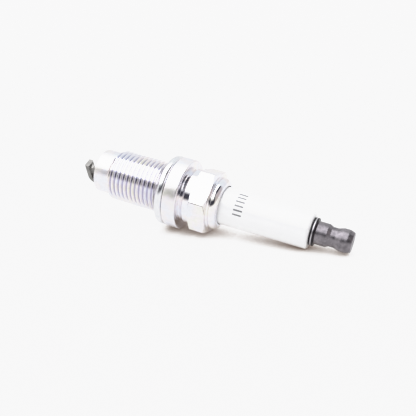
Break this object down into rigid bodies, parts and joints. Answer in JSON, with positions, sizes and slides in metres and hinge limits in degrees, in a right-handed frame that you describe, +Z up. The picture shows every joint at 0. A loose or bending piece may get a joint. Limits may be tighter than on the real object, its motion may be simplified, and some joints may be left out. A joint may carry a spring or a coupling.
{
  "type": "spark plug",
  "caption": "Spark plug with fine thread, captive crush gasket, hexagon, white ceramic insulator, solid terminal post and bent ground electrode.",
  "frame": {"origin": "centre of the bounding box at ground level, under the plug as it lies", "axes": "+X along the ground from the firing end to the terminal, +Y across the plug, +Z up; the plug's own axis lies in the XZ plane and drops about 8 degrees towards +X"},
  "size_m": [0.0766, 0.0188, 0.0197],
  "materials": {
    "plated_steel": "bright nickel plate over turned and rolled steel",
    "gasket_steel": "bright plated folded sheet steel",
    "glazed_insulator": "clear gloss glaze over white alumina",
    "dark_steel": "dark zinc-black steel, satin",
    "nickel_alloy": "drawn nickel alloy, satin",
    "copper": "drawn copper",
    "precious_metal": "fine-grained precious metal",
    "soft_steel": "annealed steel wire and washer stock",
    "talc": "pressed powder",
    "fused_glass": "opaque copper-filled glass frit",
    "resistor_mass": "matt carbon-glass composite"
  },
  "bodies": {
    "plug": {"metal_shell": "plated_steel", "insulator": "glazed_insulator", "inner_seat_washer": "soft_steel", "lower_packing_ring": "soft_steel", "talc_seal": "talc", "upper_packing_ring": "soft_steel", "terminal_stud": "dark_steel", "upper_glass_seal": "fused_glass", "resistor_element": "resistor_mass", "lower_glass_seal": "fused_glass", "centre_electrode": "nickel_alloy", "copper_core": "copper", "centre_tip": "precious_metal", "ground_electrode": "nickel_alloy", "ground_pad": "precious_metal"},
    "gasket": {"seat_gasket": "gasket_steel"}
  },
  "joints": [
    {"name": "gasket_spin", "type": "hinge", "parent": "plug", "child": "gasket", "pos_m": [-0.01114, 0, 0.01033], "axis": [0.9895, 0, -0.1444], "continuous": true}
  ]
}
